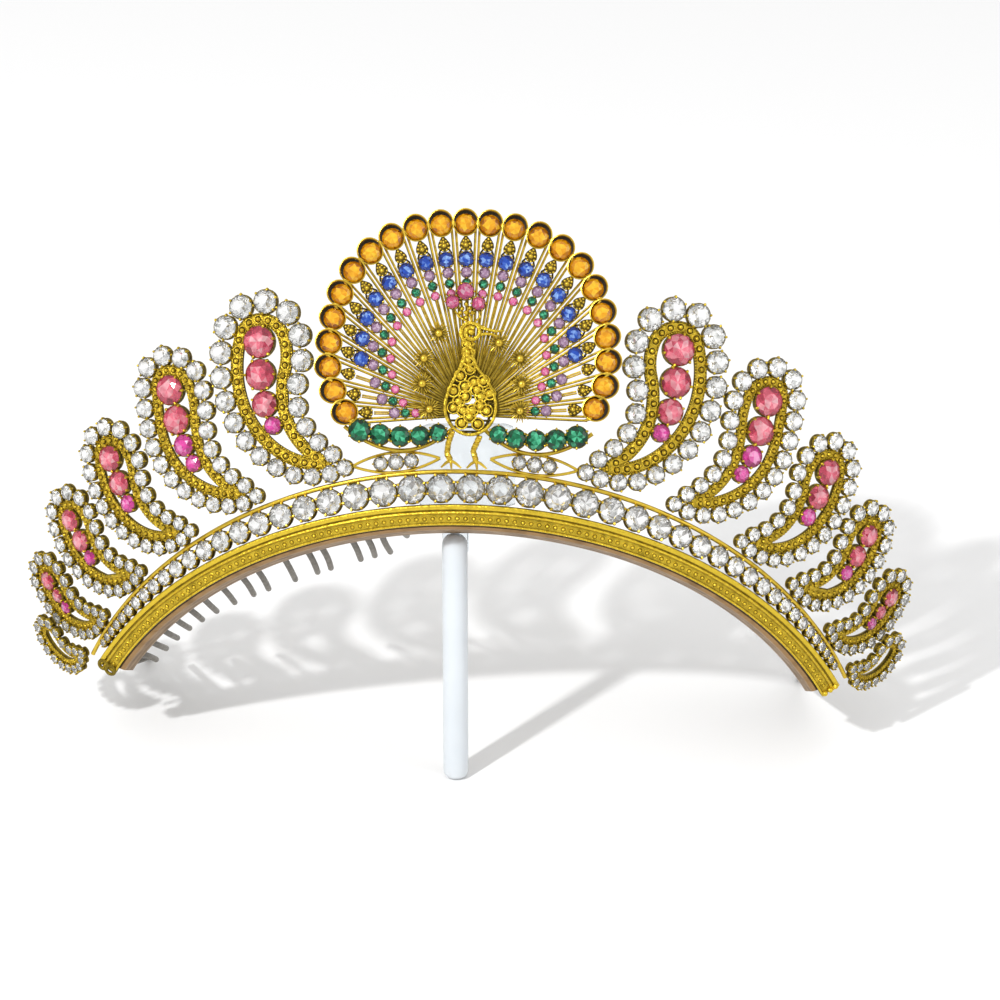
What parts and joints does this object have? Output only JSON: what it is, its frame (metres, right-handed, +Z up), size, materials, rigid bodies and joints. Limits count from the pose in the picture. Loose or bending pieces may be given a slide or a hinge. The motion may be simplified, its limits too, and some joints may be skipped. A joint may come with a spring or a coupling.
{
  "type": "peacock comb tiara on a post stand",
  "caption": "Curved gilt comb tiara with a jewelled peacock between paisley loops, held up on a plain post stand.",
  "frame": {"origin": "centre of the stand's flat foot", "axes": "+X along the tiara to its left-hand side as worn, -Y to its front, +Z up"},
  "size_m": [0.1862, 0.0623, 0.119],
  "materials": {
    "gilt": "worn gilt",
    "copper": "brushed pinkish copper",
    "dark_metal": "dull darkened metal",
    "clear_stone": "cut and polished",
    "rose_stone": "cut and polished",
    "amber_stone": "cut and polished",
    "blue_stone": "cut and polished",
    "green_stone": "cut and polished",
    "acrylic": "white, polished"
  },
  "bodies": {
    "root": {"almond_left": "gilt", "almond_left_stones": "clear_stone", "almond_right": "gilt", "almond_right_stones": "clear_stone", "amber_stones": "amber_stone", "band": "gilt", "comb_heading": "copper", "comb_teeth": "dark_metal", "crest_stones": "rose_stone", "emeralds": "green_stone", "gallery": "gilt", "gallery_stones": "clear_stone", "left_roses": "rose_stone", "paisley_left_1": "gilt", "paisley_left_1_stones": "clear_stone", "paisley_left_2": "gilt", "paisley_left_2_stones": "clear_stone", "paisley_left_3": "gilt", "paisley_left_4": "gilt", "paisley_left_5": "gilt", "paisley_left_6": "gilt", "paisley_right_1": "gilt", "paisley_right_1_stones": "clear_stone", "paisley_right_2": "gilt", "paisley_right_2_stones": "clear_stone", "paisley_right_3": "gilt", "paisley_right_4": "gilt", "paisley_right_5": "gilt", "paisley_right_6": "gilt", "peacock_body": "gilt", "peacock_left_leg": "gilt", "peacock_right_leg": "gilt", "peacock_tail": "gilt", "right_roses": "rose_stone", "sapphires": "blue_stone", "stand": "acrylic"}
  },
  "joints": []
}
